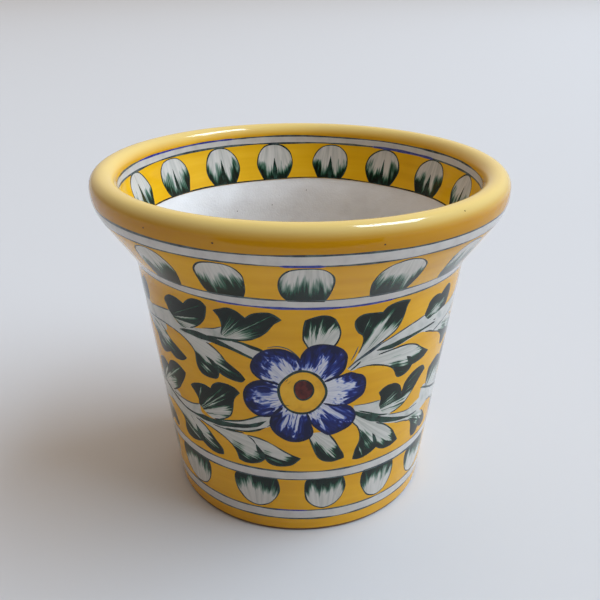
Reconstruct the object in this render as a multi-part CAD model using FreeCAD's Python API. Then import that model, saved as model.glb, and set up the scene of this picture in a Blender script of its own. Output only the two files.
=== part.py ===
"""A flared cachepot, built up from five clay parts luted one on another, in millimetres.

The pot is a body of revolution about Z. It stands on z = 0 and its axis passes the origin.
From the ground up the parts are the foot ring, the base slab, the moulded wall, the flared
collar and the rolled lip. Each stands on the one below at a level joint. All are cut from
one section, so the outside and the inside run on past the joints without a step.
"""

import FreeCAD
import Part

import math
import os

from FreeCAD import Vector

# Overall sizes
rim_diameter = 127.0
neck_diameter = 101.8
foot_diameter = 85.2
neck_height = 82.3

# Wall and floor
wall_thickness = 4.6
slab_thickness = 5.5
floor_cove_radius = 8.0

# Foot ring: a low turned ring with its outer edge wiped off
foot_ring_height = 2.5
foot_ring_width = 6.5
foot_edge_radius = 0.8

# Collar: it springs from the neck in a soft bend, which inside is spread over two turns
collar_height = 17.3
collar_thickness = 5.2
collar_bend_above_neck = 6.4
neck_bend_radius = 20.0
neck_outer_bend_radius = 14.0

# Lip: a nearly half-round roll that turns up from the collar
lip_width = 8.2
lip_face_height = 8.2
lip_face_radius = 12.8
lip_shoulder_radius = 3.8
lip_inner_radius = 4.2
lip_depth_inside = 7.0
lip_bend_radius = 10.0

# Roundings are turned as a run of flats, each at about this angle to the next
flat_turn_degrees = 24.0
# A smaller radius than this is only a wiped edge, turned as two flats
wiped_edge_radius = 1.0
wiped_edge_flats = 2
# A side between two full roundings keeps this share of its length straight
straight_share = 0.02

# Sizes that follow
rim_radius = rim_diameter / 2
neck_radius = neck_diameter / 2
foot_radius = foot_diameter / 2
slab_top = foot_ring_height + slab_thickness
lip_seam_height = neck_height + collar_height
pot_height = lip_seam_height + lip_face_height
lip_inside_radius = rim_radius - lip_width


def point(radius, height):
    """A point of the section, which lies in the plane y = 0."""
    return Vector(radius, 0, height)


def wall_radius(height):
    """Outer radius of the cone from foot to neck."""
    return foot_radius + (neck_radius - foot_radius) * height / neck_height


def collar_radius(height):
    """Outer radius of the collar from neck to lip."""
    rise_share = (height - neck_height) / (lip_seam_height - neck_height)
    return neck_radius + (rim_radius - neck_radius) * rise_share


def section_corners():
    """Corners of the whole section with their rounding radii, from the underside round."""
    recess_radius = foot_radius - foot_ring_width
    bend_height = neck_height + collar_bend_above_neck
    bend_radius = collar_radius(bend_height) - collar_thickness
    return [
        (point(0, foot_ring_height), 0),
        (point(recess_radius, foot_ring_height), 0),
        (point(recess_radius, 0), 0),
        (point(foot_radius, 0), foot_edge_radius),
        (point(neck_radius, neck_height), neck_outer_bend_radius),
        (point(rim_radius, lip_seam_height), lip_face_radius),
        (point(rim_radius, pot_height), lip_shoulder_radius),
        (point(lip_inside_radius, pot_height), lip_inner_radius),
        (point(lip_inside_radius, pot_height - lip_depth_inside), lip_bend_radius),
        (point(bend_radius, bend_height), 0),
        (point(neck_radius - wall_thickness, neck_height), neck_bend_radius),
        (point(wall_radius(slab_top) - wall_thickness, slab_top), floor_cove_radius),
        (point(0, slab_top), 0),
    ]


def sides_at(spots, i):
    """Unit directions from a corner back to the last one and ahead to the next."""
    back = spots[i - 1] - spots[i]
    ahead = spots[(i + 1) % len(spots)] - spots[i]
    return back.normalize(), ahead.normalize()


def turn_at(spots, i):
    """The angle, in radians, by which the outline turns at a corner."""
    back, ahead = sides_at(spots, i)
    return math.pi - back.getAngle(ahead)


def rounding_reaches(spots, radii):
    """How far each rounding runs along its sides, shortened where two share a side."""
    count = len(spots)
    wanted = [radii[i] * math.tan(turn_at(spots, i) / 2) for i in range(count)]
    reaches = []
    for i in range(count):
        kept_share = 1
        for j in (i - 1, (i + 1) % count):
            room = (spots[j] - spots[i]).Length * (1 - straight_share)
            asked = wanted[i] + wanted[j]
            if asked > room:
                kept_share = min(kept_share, room / asked)
        reaches.append(wanted[i] * kept_share)
    return reaches


def rounding_points(spots, i, reach):
    """Ends of the flats along the arc that touches both sides of a corner."""
    back, ahead = sides_at(spots, i)
    turn = turn_at(spots, i)
    radius = reach / math.tan(turn / 2)
    flats = max(1, round(math.degrees(turn) / flat_turn_degrees))
    if radius < wiped_edge_radius:
        flats = wiped_edge_flats
    inward = (back + ahead).normalize()
    across = (ahead - back).normalize()
    centre = spots[i] + inward * (reach / math.sin(turn / 2))
    points = []
    for k in range(flats + 1):
        angle = turn * (k / flats - 1 / 2)
        points.append(centre - inward * radius * math.cos(angle) + across * radius * math.sin(angle))
    return points


def polygon_face(spots):
    """A flat face with straight sides."""
    return Part.Face(Part.makePolygon(spots + spots[:1]))


def section():
    """The whole section of the pot, from its axis to its skin."""
    corners = section_corners()
    spots = [spot for spot, radius in corners]
    reaches = rounding_reaches(spots, [radius for spot, radius in corners])
    outline = []
    for i, reach in enumerate(reaches):
        outline += rounding_points(spots, i, reach) if reach > 0 else [spots[i]]
    return polygon_face(outline)


def band(low, high):
    """Everything in the section's plane between two heights."""
    return polygon_face(
        [point(0, low), point(rim_diameter, low), point(rim_diameter, high), point(0, high)]
    )


def turned(face):
    """The solid that a face of the section sweeps in one turn about the pot's axis."""
    return face.revolve(point(0, 0), Vector(0, 0, 1), 360).Solids[0]


def clay_parts():
    """The luted parts by name, cut from the section at their level joints."""
    joints = {
        "foot_ring": (0, foot_ring_height),
        "base_slab": (foot_ring_height, slab_top),
        "moulded_wall": (slab_top, neck_height),
        "flared_collar": (neck_height, lip_seam_height),
        "rolled_lip": (lip_seam_height, pot_height),
    }
    whole = section()
    return {name: turned(whole.common(band(*heights))) for name, heights in joints.items()}


os.makedirs("parts", exist_ok=True)
for name, solid in clay_parts().items():
    solid.exportStep(os.path.join("parts", name + ".step"))
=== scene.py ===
import math
import random

import bpy
import numpy as np
from mathutils import Matrix, Vector, noise
from mathutils.geometry import delaunay_2d_cdt


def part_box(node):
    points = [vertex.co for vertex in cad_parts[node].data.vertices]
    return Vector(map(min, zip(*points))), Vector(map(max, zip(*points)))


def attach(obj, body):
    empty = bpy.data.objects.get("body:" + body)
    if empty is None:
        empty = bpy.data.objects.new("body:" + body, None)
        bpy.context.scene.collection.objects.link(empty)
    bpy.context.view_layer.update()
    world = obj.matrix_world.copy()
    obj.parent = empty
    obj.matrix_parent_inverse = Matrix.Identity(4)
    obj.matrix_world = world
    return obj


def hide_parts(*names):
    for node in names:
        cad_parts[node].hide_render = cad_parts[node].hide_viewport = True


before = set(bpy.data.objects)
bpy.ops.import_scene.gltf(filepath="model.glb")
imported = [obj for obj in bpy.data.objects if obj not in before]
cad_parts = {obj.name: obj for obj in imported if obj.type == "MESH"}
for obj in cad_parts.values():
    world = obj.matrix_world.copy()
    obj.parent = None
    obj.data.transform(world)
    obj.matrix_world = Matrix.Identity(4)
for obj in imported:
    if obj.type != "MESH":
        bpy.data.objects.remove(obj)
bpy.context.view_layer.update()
mm = 0.001  # Blender works in metres, the drawing below in millimetres


# Section of the pot, with its sizes read from the CAD parts and its roundings in millimetres

pot = {
    "wallThickness": 4.6,
    "collarThickness": 5.2,
    "collarBendAboveNeck": 6.4,
    "collarBendRounding": 30,
    "neckRoundingInside": 20,
    "neckRoundingOutside": 14,
    "footRingWidth": 6.5,
    "footRounding": 0.8,
    "footInnerRounding": 0.5,
    "coveRounding": 8,
    "lipWidth": 8.2,
    "lipDepthInside": 7,
    "lipFaceRounding": 12.8,
    "lipShoulderRounding": 3.8,
    "lipInnerRounding": 4.2,
    "lipBendRounding": 10,
    "arcStep": 4,  # degrees between points on a rounding
}


def nodeSize(node):
    # outer radius, underside and top
    low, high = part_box(node)
    return high.x / mm, low.z / mm, high.z / mm


groundZ, ringTop = nodeSize("foot_ring")[1:]
slabRadius, slabTop = nodeSize("base_slab")[::2]
neckRadius, neckZ = nodeSize("moulded_wall")[::2]
rimRadius, lipSeam, potTop = nodeSize("rolled_lip")
wallSlope = (neckRadius - slabRadius) / (neckZ - slabTop)
footRadius = neckRadius - wallSlope * neckZ
lipInside = rimRadius - pot["lipWidth"]


def roundedPath(corners):
    # corners are (radius, height, rounding), and the path keeps its two ends
    spots = [Vector((c[0], c[1])) for c in corners]
    last = len(spots) - 1
    turns = [0] * len(spots)
    reaches = [0] * len(spots)
    for i in range(1, last):
        turns[i] = (spots[i] - spots[i - 1]).angle(spots[i + 1] - spots[i])
        reaches[i] = corners[i][2] * math.tan(turns[i] / 2)
    for i in range(last):
        room = (spots[i + 1] - spots[i]).length * 0.99  # a little of the side stays straight
        asked = reaches[i] + reaches[i + 1]
        if asked > room:  # two roundings share this side
            reaches[i] *= room / asked
            reaches[i + 1] *= room / asked
    path = [tuple(spots[0])]
    for i in range(1, last):
        if reaches[i] == 0:
            path.append(tuple(spots[i]))
            continue
        back = (spots[i - 1] - spots[i]).normalized()
        ahead = (spots[i + 1] - spots[i]).normalized()
        radius = reaches[i] / math.tan(turns[i] / 2)
        inward = (back + ahead).normalized()
        across = (ahead - back).normalized()
        centre = spots[i] + inward * reaches[i] / math.sin(turns[i] / 2)
        steps = max(2, round(math.degrees(turns[i]) / pot["arcStep"]))
        for k in range(steps + 1):
            angle = turns[i] * (k / steps - 0.5)
            spot = centre - inward * radius * math.cos(angle) + across * radius * math.sin(angle)
            path.append(tuple(spot))
    path.append(tuple(spots[last]))
    return path


def wallOuter(z):
    return footRadius + wallSlope * z


bendZ = neckZ + pot["collarBendAboveNeck"]
bendShare = (bendZ - neckZ) / (lipSeam - neckZ)
bendRadius = neckRadius + (rimRadius - neckRadius) * bendShare - pot["collarThickness"]
skinPath = np.array(roundedPath([
    (footRadius, groundZ, 0),
    (neckRadius, neckZ, pot["neckRoundingOutside"]),
    (rimRadius, lipSeam, pot["lipFaceRounding"]),
    (rimRadius, potTop, pot["lipShoulderRounding"]),
    (lipInside, potTop, pot["lipInnerRounding"]),
    (lipInside, potTop - pot["lipDepthInside"], pot["lipBendRounding"]),
    (bendRadius, bendZ, pot["collarBendRounding"]),
    (neckRadius - pot["wallThickness"], neckZ, pot["neckRoundingInside"]),
    (wallOuter(slabTop) - pot["wallThickness"], slabTop, pot["coveRounding"]),
    (0, slabTop, 0),
]))
skinS = np.concatenate([[0], np.cumsum(np.hypot(*np.diff(skinPath, axis=0).T))])
topIndex = int(np.argmax(skinPath[:, 1]))


def outsideS(z):
    # length along the section up to a height on the outside
    return float(np.interp(z, skinPath[:topIndex + 1, 1], skinS[:topIndex + 1]))


def insideS(z):
    # the same on the inside, where the section runs down
    return float(np.interp(-z, -skinPath[topIndex:, 1], skinS[topIndex:]))


def sectionAt(s):
    # radius, height and outward normal of the section
    half = 0.2  # the normal is taken over this length on both sides
    r, z = (np.interp(s, skinS, side) for side in skinPath.T)
    dr, dz = (np.interp(s + half, skinS, side) - np.interp(s - half, skinS, side)
              for side in skinPath.T)
    size = np.hypot(dr, dz)
    return r, z, dz / size, -dr / size


print("section:", len(skinPath), "points,", round(skinS[-1], 1), "mm")


# The drawing plane: u runs round the pot to the right, v runs up the wall and on over the lip

plane = {
    "mmPerDegree": 0.85,  # at the height of the flower
    "meanRadius": 48,  # turns lengths round the pot into angles where no more is needed
    "flowerHeight": 54.3,
    "columns": 144,
    "rowStep": 2.0,  # millimetres, as all lengths here
    "lipRowStep": 0.9,  # round the neck and over the lip
    "lipRowsFrom": 97,
    "lipRowsTo": 100,
    "neckRowsReach": 3,
    # the bare brown strip this leaves round the foot is bare clay and also painted contact shadow
    # where the pot stands
    "coatBottom": 1.1,  # the foot stays bare below this height
    "coatEnd": 88.9,  # the coat ends inside at this height
    "coatThickness": 0.15,
    "edgeMargin": 0.05,  # the painting keeps this far from both rims
    "nearby": 1e-3,  # corners this close are on the same line
    "handWave": 0.14,  # how far the thrown surface wanders
    "waveSize": 38,
    "fineWaveSize": 13,
    "fineWaveShare": 0.35,
    "endWave": 0.9,  # how far the end of the coat wanders
    "endWaveSize": 45,
    "endWaveFrom": 100,  # inside, that wander grows from nothing at this height down to the end
}
flowerS = outsideS(plane["flowerHeight"])
fullTurn = 360 * plane["mmPerDegree"]
halfTurn = fullTurn / 2
bottomV = outsideS(plane["coatBottom"]) - flowerS
endV = insideS(plane["coatEnd"]) - flowerS


def outV(z):
    return outsideS(z) - flowerS


def inV(z):
    return insideS(z) - flowerS


def turnAt(u):
    # an angle round the pot in radians
    return np.radians(u / plane["mmPerDegree"])


def softNoise(phi, v, size, seed):
    # a value for each place, the same at both ends of the turn
    around = plane["meanRadius"] / size
    return np.array([
        noise.noise(Vector((math.sin(a) * around, math.cos(a) * around, b / size + seed * 17.3)))
        for a, b in np.broadcast(phi, v)
    ])


def surface(phi, v, inward):
    # places on the pot in millimetres
    fine = softNoise(phi, v, plane["fineWaveSize"], 2)
    wander = softNoise(phi, v, plane["waveSize"], 1) + plane["fineWaveShare"] * fine
    drift = softNoise(phi, 0, plane["endWaveSize"], 3)
    fadeV = inV(plane["endWaveFrom"])
    nearEnd = np.clip((v - fadeV) / (endV - fadeV), 0, 1)
    r, z, nr, nz = sectionAt(v + flowerS + drift * nearEnd * plane["endWave"] * 2)
    inset = plane["handWave"] * (1 - wander) / 2 + inward
    r = r - nr * inset
    z = z - nz * inset
    return np.stack([r * np.sin(phi), -r * np.cos(phi), z], 1)


def wrap(u, v, inward=0.0):
    # points of the plane onto the pot, with normals
    phi = turnAt(u)
    place = surface(phi, v, inward)
    step = 0.4
    turn = step / plane["meanRadius"]
    alongU = surface(phi + turn, v, inward) - surface(phi - turn, v, inward)
    alongV = surface(phi, v + step, inward) - surface(phi, v - step, inward)
    normal = np.cross(alongU, alongV)
    normal /= np.linalg.norm(normal, axis=1)[:, None]
    return place * mm, normal


# Brush drawing: smooth lines through a few points. A third value is the line's width there, and
# a third value of 1 marks a sharp corner

brush = {
    "step": 0.75,  # millimetres between points along a line
    "roundness": 0.9,  # how far a line swings out at its points
    "swell": 0.35,  # how much a line's width varies along it
    "swellSize": 5.0,
    "handSize": 9,  # distance over which the hand strays one way
    "sureHand": 0.25,  # how far it strays in front
    "freeHand": 1.3,  # and on the rest of the pot
    "stalkReach": 0.3,  # a leaf's streaks fan out from this share of its length behind its stalk
    "tipShare": 0.35,  # width of a line's tips
    "taper": 1.6,  # length over which the tips reach full width, were they to start from nothing
}


def smoothLine(points, closed=False):
    # returns the fine points and, for each given point, its place among them
    spots = [Vector(p[:2]) for p in points]
    widths = [p[2] if len(p) > 2 and p[2] != 1 else 0 for p in points]
    sharp = [len(p) > 2 and p[2] == 1 for p in points]
    count = len(points)
    fine = []
    marks = []
    spans = count if closed else count - 1
    for i in range(spans):
        j = (i + 1) % count
        a, b = spots[i], spots[j]
        before, after = a + (a - b), b + (b - a)  # straight on, past an end or a sharp corner
        if (closed or i > 0) and not sharp[i]:
            before = spots[i - 1]
        if (closed or i + 2 < count) and not sharp[j]:
            after = spots[(i + 2) % count]
        length = (b - a).length
        startPull = (b - before) * (brush["roundness"] * length / max((b - before).length, 1e-6))
        endPull = (after - a) * (brush["roundness"] * length / max((after - a).length, 1e-6))
        steps = max(1, round(length / brush["step"]))
        marks.append(len(fine))
        for k in range(steps):
            t = k / steps
            h1 = 2 * t ** 3 - 3 * t ** 2 + 1
            h2 = t ** 3 - 2 * t ** 2 + t
            h3 = -2 * t ** 3 + 3 * t ** 2
            h4 = t ** 3 - t ** 2
            spot = a * h1 + startPull * h2 + b * h3 + endPull * h4
            fine.append((spot.x, spot.y, widths[i] + (widths[j] - widths[i]) * t))
    if not closed:
        marks.append(len(fine))
        fine.append((spots[-1].x, spots[-1].y, widths[-1]))
    return np.array(fine), marks


def ribbon(line, width, seed, closed=False):
    # a closed outline round a brush line, from its points and a width for all or for each
    line = np.asarray(line, float)
    count = len(line)
    widths = np.full(count, float(width)) if np.isscalar(width) else np.array(width, float)
    ahead = np.roll(line[:, :2], -1, 0)
    back = np.roll(line[:, :2], 1, 0)
    if not closed:
        ahead[-1] = line[-1, :2]
        back[0] = line[0, :2]
    along = ahead - back
    along /= np.maximum(np.hypot(*along.T), 1e-9)[:, None]
    side = np.stack([-along[:, 1], along[:, 0]], 1)
    run = np.concatenate([[0], np.cumsum(np.hypot(*np.diff(line[:, :2], axis=0).T))])
    swell = np.array([noise.noise(Vector((a / brush["swellSize"], seed * 3.7, 0))) for a in run])
    if closed:  # fade the swell out at the join
        swell *= np.sin(np.pi * run / run[-1])
    widths = widths * (1 + brush["swell"] * swell * 2)
    if not closed:
        fromEnd = np.minimum(run, run[-1] - run)
        widths = widths * np.clip(brush["tipShare"] + fromEnd / brush["taper"], 0, 1)
    left = line[:, :2] + side * widths[:, None] / 2
    right = line[:, :2] - side * widths[:, None] / 2
    if closed:
        left = np.concatenate([left, left[:1]])
        right = np.concatenate([right, right[:1]])
    return np.concatenate([left, right[::-1]])


drawing = []  # regions in the order they are painted, later ones lie on top


def paint(colour, outline, tip=None, base=None, depth=1.0, seed=0):
    # adds a region, and again one turn away where it crosses the seam
    outline = np.asarray(outline, float)[:, :2]
    for turn in (-fullTurn, 0, fullTurn):
        low, high = outline[:, 0].min() + turn, outline[:, 0].max() + turn
        if high < -halfTurn or low > halfTurn:
            continue
        shift = np.array([turn, 0])
        drawing.append({
            "colour": colour,
            "outline": outline + shift,
            "tip": None if tip is None else np.asarray(tip, float)[:, :2] + shift,
            "base": None if tip is None else np.asarray(base, float) + shift,
            "depth": depth,
            "seed": seed,
        })


def handShift(line, seed, amount):
    # the same motif drawn again comes out a little different
    moved = np.array(line, float)
    size = brush["handSize"]
    for p in moved:
        p[0] += amount * noise.noise(Vector((p[0] / size, p[1] / size, seed)))
        p[1] += amount * noise.noise(Vector((p[0] / size, p[1] / size, seed + 5.5)))
    return moved


# bands and lines right round the pot
rings = {
    "overlap": 4,  # past the seam at both ends
    "edgeSize": 24,  # length of an edge's wander
    "lineSwell": 0.8,  # share by which a line's width varies
    "lineSwellSize": 9,
    "lineWander": 0.12,  # how far a line strays from its edge
    "lineWanderSize": 14,
    "lineWidth": 0.55,
}


def ringRegion(colour, us, lower, upper):
    edges = np.stack([us, lower], 1), np.stack([us, upper], 1)
    outline = np.concatenate([edges[0], edges[1][::-1]])
    drawing.append({"colour": colour, "outline": outline, "tip": None})
    return edges


def ringBand(colour, low, high, seed, wander=0.35):
    # a band right round the pot between two hand-drawn edges
    end = halfTurn + rings["overlap"]
    us = np.linspace(-end, end, plane["columns"] * 2)
    lower = low + wander * softNoise(turnAt(us), 0, rings["edgeSize"], seed)
    upper = high + wander * softNoise(turnAt(us), 0, rings["edgeSize"], seed + 0.5)
    return ringRegion(colour, us, lower, upper)


def ringLine(colour, edge, width, seed):
    # a line that follows the edge of a band
    us, vs = edge.T
    swell = softNoise(turnAt(us), 0, rings["lineSwellSize"], seed)
    off = rings["lineWander"] * softNoise(turnAt(us), 0, rings["lineWanderSize"], seed + 3)
    half = width / 2 * (1 + rings["lineSwell"] * swell)
    ringRegion(colour, us, vs + off - half, vs + off + half)


# Motifs in millimetres: one flower with its two sprays fills a third of the turn

sprayWhites = [
    [(-57.8, 16.4), (-50.8, 17.2), (-44.8, 18.3), (-39.9, 19.3, 1), (-36, 16), (-30.6, 16.8),
     (-25.2, 17.9), (-20.9, 19.9, 1), (-20.7, 17.4), (-13, 17, 1), (-17.4, 15.9), (-21.3, 15.1),
     (-26.2, 12.8, 1), (-33.1, 11.8), (-39.9, 13.1), (-44.9, 13.4), (-50.8, 12.7), (-57.9, 11.7)],
    [(-21.8, 15), (-18.4, 15.8), (-15.4, 15.4), (-12.1, 14.1), (-9.2, 12.7, 1), (-11.2, 10.7, 1),
     (-15.5, 12.3), (-19.4, 13.7)],
    [(-58.2, -9.8), (-52.3, -11.1), (-45.3, -12.7), (-40.3, -12.7), (-35.3, -11.8),
     (-32.9, -10.8, 1), (-32.4, -14.1), (-27.5, -14.4), (-21.6, -13.2), (-15.7, -11.2),
     (-12.1, -9.3), (-8, -8.7, 1), (-8.4, -12.5, 1), (-12.7, -14.4), (-17.7, -15.8), (-21.6, -16.6),
     (-16.2, -17, 1), (-23.6, -20.3), (-28.5, -17.8), (-35.4, -17.5, 1), (-42.4, -18.1, 1),
     (-47.4, -17.7), (-51.3, -16.7), (-58.3, -15)],
    [(13, 7.5, 1), (16.5, 10.7), (21.4, 13.8), (23.8, 14.6), (27.2, 15.7), (32, 17.2),
     (37.8, 18.8, 1), (39.7, 16.5), (45.6, 15), (51.4, 14.3), (58.4, 13.6), (58.4, 11.6),
     (48.5, 13.1), (42.7, 11.2), (36.9, 13), (30.1, 11.9), (25.2, 10.8), (19.4, 8.9), (14.6, 6.5)],
    [(16, -5.8, 1), (19.4, -6.1), (24.9, -6.2, 1), (26.3, -10.2), (29.2, -12.5), (29.7, -13.3),
     (33.1, -14.1), (37, -14.9), (41.9, -13.6), (48.7, -12.4), (58.6, -10.7), (58.7, -15.7),
     (52.7, -17), (47.8, -18.5), (43.9, -19.3), (41, -20.4, 1), (37, -18.8), (32.1, -17.4),
     (27.7, -15.9), (21.4, -13.3), (17.5, -10.8), (16, -8.7)],
]

# each leaf: the points between which its green starts, how deep the green runs, the points
# between which its edge is drawn, and its outline
leafShapes = {
    "upperNear": ((3, 14), 6.5, (0, 17), [
        (-21, 17.1), (-20.8, 19.4), (-20.9, 21.5), (-21.5, 23.1), (-22.7, 24.5, 1), (-20.8, 25.3),
        (-18.5, 26.1), (-16.3, 25.5), (-13.9, 23.7, 1), (-12.1, 25.1), (-9.5, 25.9), (-7.3, 25.9),
        (-4.8, 24.1, 1), (-6.6, 22.8), (-8.2, 20.5), (-10, 18.7), (-12.5, 17.3), (-15.4, 16.6)]),
    "upperFar": ((1, 12), 6.2, (0, 15), [
        (-39.7, 19), (-40.3, 20.5), (-41.2, 22.3), (-39.8, 23.9), (-38, 24.7), (-35.4, 24.6),
        (-32.8, 23.6, 1), (-30.9, 25.3), (-29, 26.3), (-26.4, 26.4), (-25, 25, 1), (-25.4, 22.9),
        (-26.1, 20.9), (-27.6, 18.9), (-29.3, 17.5), (-31.5, 16.4), (-35, 15.6)]),
    "upperDroop": ((5, 16), 3.4, (0, 20), [
        (-39.9, 13.4), (-36.8, 12.7), (-34.1, 11.5), (-32.1, 10), (-31.1, 8.2), (-31.2, 5.5),
        (-30.8, 3), (-29.6, 1.5), (-26.8, 1), (-24.2, 1.5), (-23.3, 3.8, 1), (-21.4, 3), (-19, 2.4),
        (-16.5, 2.3), (-15.5, 3.4, 1), (-16.7, 5.1), (-18.9, 6.9), (-20.8, 8.3), (-21.9, 9.9),
        (-23.8, 11.7), (-26.5, 13.1)]),
    "upperDroopFar": ((4, 14), 3.6, (0, 17), [
        (-63.3, 13.2), (-59.8, 12.3), (-56.4, 10.8), (-53.1, 8.5), (-51, 6.1), (-50.6, 3.9),
        (-49.5, 2.3), (-47.3, 2.1), (-43.7, 3.8, 1), (-41.1, 2.7), (-38.6, 2.9), (-36.7, 3.7),
        (-35.4, 4.8, 1), (-37.6, 6.1), (-40, 7.3), (-42.5, 8.6), (-44.4, 10.3), (-46.9, 11.9),
        (-51.8, 12.9)]),
    "upperRight": ((5, 17), 4.6, (1, 24), [
        (14.5, 9.1), (15.8, 12.1), (16.7, 14.3), (17.1, 16.4), (16.7, 18), (15.6, 18.9),
        (14.6, 20.9), (14.5, 22.7), (15.6, 24), (17.3, 24.4), (19.9, 24.2), (22, 24, 1),
        (23.3, 25.4), (25.2, 26.1), (27.6, 26.3), (30.2, 25.8, 1), (29.4, 24.1), (29, 21.9),
        (28.1, 19.2), (26.8, 17.3), (24.7, 15.8), (22.3, 14.3), (18.5, 11.8), (15.5, 9.7),
        (13.2, 7.5)]),
    "upperRightFar": ((1, 10), 4.4, (0, 13), [
        (37.8, 18.2), (38.4, 20.4), (39.1, 22.3), (40.7, 23.3), (42.6, 23.4), (44.6, 22.8, 1),
        (46.1, 23.9), (47.9, 24.8), (49.7, 24.1), (50.3, 22), (49.9, 19.8), (48.8, 17.8),
        (46.6, 16), (42.7, 14.9)]),
    "upperDroopRight": ((9, 18), 3.6, (3, 23), [
        (14.2, 6.8), (16.5, 8.4), (19.4, 9.1), (22.3, 10.3), (25.2, 10.8), (29.1, 11), (32.5, 10.7),
        (35.9, 9.3), (38.8, 7.2), (41.3, 5.6), (43.1, 4.6, 1), (40.8, 3.2), (37.9, 2.7),
        (35.7, 2.6, 1), (34.5, 1), (32.1, 0.1), (30.1, 0.3), (29.3, 1.6), (28.6, 3.1), (27.4, 4.5),
        (25.2, 5.8), (22.3, 6.8), (18.9, 7.3), (16, 7)]),
    "lowerNear": ((2, 14), 5.6, (0, 18), [
        (-33, -11.2), (-32.9, -9.3), (-33.7, -7.5), (-35.6, -5, 1), (-34.5, -4), (-32.3, -3),
        (-29.8, -2.6), (-27.3, -3.2, 1), (-26.2, -1.5), (-23.9, -0.1), (-21.1, 0.2), (-19, -0.4),
        (-17.5, -1.8, 1), (-18.7, -3.2), (-19.6, -5.1), (-20.2, -8.2), (-21, -10.7), (-23, -12.5),
        (-25.5, -13.6), (-28.5, -14.2)]),
    "lowerFar": ((2, 12), 5, (0, 15), [
        (-55.1, -11.6), (-55.6, -9.1), (-55.5, -6.1), (-54.9, -3.8, 1), (-52.6, -2.4),
        (-50.1, -1.8), (-47.4, -3.1, 1), (-45.6, -0.8), (-42.9, 0.4), (-40.1, 0.2),
        (-37.5, -1.3, 1), (-38.4, -3.4), (-40.2, -6.1), (-42.2, -8.7), (-44.8, -10.6),
        (-47.8, -12)]),
    "lowerDroop": ((5, 15), 2.6, (0, 21), [
        (-33.9, -16.8), (-29.5, -18.1), (-26.5, -19.1), (-24.1, -20.3), (-21.9, -22),
        (-20.5, -24.2), (-19.7, -27.4, 1), (-17.7, -28), (-15.3, -27.8), (-12.8, -26.8),
        (-10.9, -25.1, 1), (-9.5, -26.6), (-7.4, -27.3), (-4.5, -27.3), (-2.1, -26.6),
        (0.3, -24.2, 1), (-1.8, -23.3), (-4.5, -21.7), (-7.4, -19.7), (-9.8, -18.4), (-12.8, -17.4),
        (-16.2, -17), (-20.6, -16.6)]),
    "lowerDroopFar": ((4, 16), 3.4, (0, 19), [
        (-51.3, -16.6), (-47.9, -17.9), (-45.2, -19.3), (-43.4, -20.7), (-43, -22.5), (-43.4, -25),
        (-42.5, -26.7), (-40.5, -27.3), (-38, -27), (-34.5, -25.7, 1), (-32.6, -26.9),
        (-30.1, -27.8), (-27.6, -27.9), (-25.8, -27.4, 1), (-25.8, -25.7), (-26.6, -24.4),
        (-28.2, -22.7), (-30.1, -20.5), (-32.5, -18.6), (-35.9, -17.4)]),
    "lowerRight": ((1, 18), 4.4, (2, 23), [
        (24.7, -8.2), (24.9, -6.2), (24.7, -4.8), (24.1, -3.3, 1), (25.3, -2.3), (27.2, -1.8),
        (29.6, -2.1), (31.6, -3.4), (32.6, -5.3), (33, -7.2, 1), (33.4, -5.5), (33.9, -3.5),
        (35.2, -1.9), (36.9, -0.8), (39.4, -0.2), (41.8, -0.6), (43.2, -2.3, 1), (41.3, -4),
        (39.9, -5.8), (38.4, -7.8), (36.5, -9.8), (34.5, -11.3), (32.1, -12.2), (29.5, -12.7),
        (26.7, -11.8)]),
    "lowerDroopRight": ((3, 14), 3.2, (0, 18), [
        (16.1, -11.6), (17.9, -14.1), (19, -17.1), (19.1, -19.9), (18, -22.9), (17.4, -26.5, 1),
        (19.3, -26.8), (21.4, -26.6), (23.9, -25.6), (25.7, -24.3, 1), (27.3, -25.3), (29.2, -26),
        (32.2, -26.1), (34.9, -25.1, 1), (33.4, -22.7), (31.7, -20.2), (29.2, -17.6), (27.2, -16),
        (24.3, -14.5), (21.4, -13), (19, -11.1), (16.5, -9.2)]),
    "lowerDroopRightFar": ((2, 10), 3.4, (0, 12), [
        (37.5, -18.9), (40.3, -20.2), (41.6, -22.7), (42.3, -25.9), (43.5, -28.1, 1), (45.9, -28.2),
        (47.9, -26.2, 1), (49.3, -27.2), (51.1, -27.4), (52.6, -26.3, 1), (51.8, -24.3),
        (49.8, -21.9), (47.3, -19.7), (43.9, -18.3)]),
    "budAbove": ((4, 9), 3.6, (0, 14), [
        (3, 14.5), (1.8, 16.3), (1, 17.9), (0.9, 19.6), (1, 21.9), (1.4, 24, 1), (3, 24.7),
        (5.3, 25.3), (7.5, 25), (9, 24, 1), (10, 22.1), (10.6, 19.9), (10.3, 17.9), (9.4, 16.1),
        (7.8, 14.7)]),
    "budBelow": ((3, 10), 3, (0, 13), [
        (3.1, -14.9), (3.2, -16.9), (3.8, -19), (4.8, -21.5), (6, -23.9), (7.7, -25.4), (10.2, -26),
        (12.1, -25.7), (14.1, -25.2, 1), (13.8, -23.8), (12.6, -21.4), (11.3, -18.9), (10, -17),
        (7.9, -14.5)]),
}

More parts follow.
